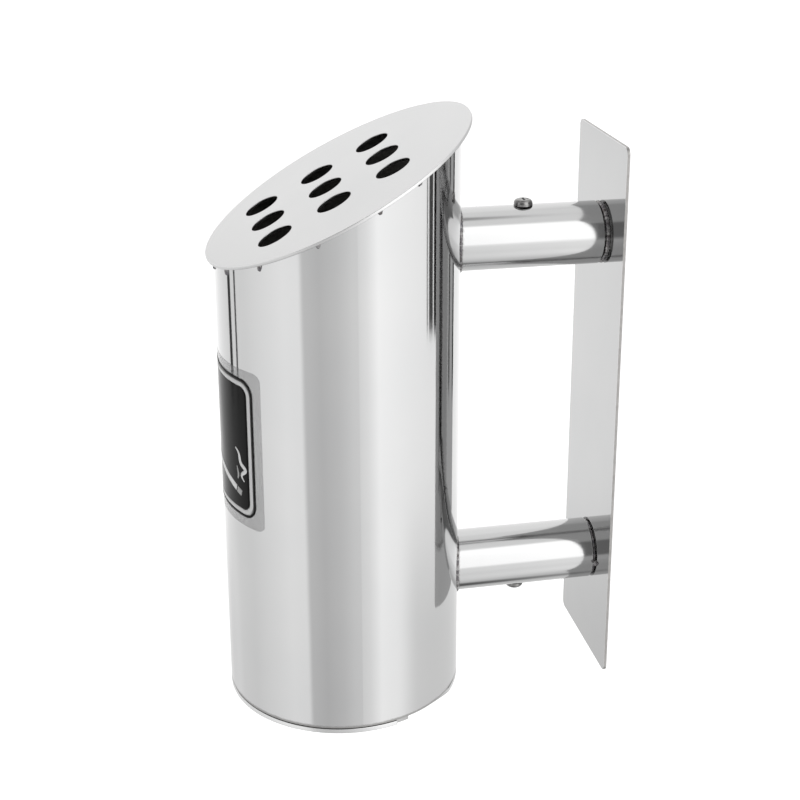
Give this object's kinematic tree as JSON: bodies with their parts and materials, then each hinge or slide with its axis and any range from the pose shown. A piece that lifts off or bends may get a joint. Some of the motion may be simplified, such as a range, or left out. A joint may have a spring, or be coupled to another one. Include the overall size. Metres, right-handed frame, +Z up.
{
  "type": "wall-mounted ashtray bin",
  "caption": "Wall-mounted ashtray bin: polished steel tube with a slanted perforated lid, a swing-out base plate and tubular arms that slip over pegs on a flat wall plate.",
  "frame": {"origin": "on the wall plate's back face, midway between the two fixing holes", "axes": "+Y into the wall, -Y towards the user, +Z up"},
  "size_m": [0.1226, 0.1683, 0.2604],
  "materials": {
    "polished_steel": "mirror-polished stainless steel",
    "satin_steel": "fine satin stainless steel",
    "weld_steel": "bare weld bead, lightly heat-tinted",
    "screw_steel": "bright stainless fastener",
    "inner_steel": "mill-finish stainless steel",
    "clear_film": "clear self-adhesive film with a printed pictogram"
  },
  "bodies": {
    "wall_bracket": {"wall_plate": "polished_steel", "upper_peg_tube": "inner_steel", "lower_peg_tube": "inner_steel", "upper_peg_weld": "weld_steel", "lower_peg_weld": "weld_steel"},
    "bin": {"body_tube": "polished_steel", "lid_plate": "satin_steel", "lid_tack_welds": "weld_steel", "upper_arm_tube": "polished_steel", "lower_arm_tube": "polished_steel", "upper_arm_weld": "weld_steel", "lower_arm_weld": "weld_steel", "upper_lock_nut": "screw_steel", "lower_lock_nut": "screw_steel", "pivot_lug": "inner_steel", "pivot_washer": "screw_steel", "spring_washer": "screw_steel", "pivot_screw": "screw_steel", "stop_tab": "inner_steel", "sign_film": "clear_film"},
    "upper_lock": {"upper_lock_screw": "screw_steel"},
    "lower_lock": {"lower_lock_screw": "screw_steel"},
    "base": {"base_plate": "polished_steel"}
  },
  "joints": [
    {"name": "bin_slide", "type": "slide", "parent": "wall_bracket", "child": "bin", "axis": [0, -1, 0], "range_m": [0, 0.06]},
    {"name": "upper_lock_out", "type": "slide", "parent": "bin", "child": "upper_lock", "axis": [0, 0, 1], "range_m": [0, 0.009]},
    {"name": "lower_lock_out", "type": "slide", "parent": "bin", "child": "lower_lock", "axis": [0, 0, -1], "range_m": [0, 0.009]},
    {"name": "base_swing", "type": "hinge", "parent": "bin", "child": "base", "pos_m": [-0.03828, -0.12889, -0.124], "axis": [0, 0, -1], "range_deg": [0, 110]}
  ]
}
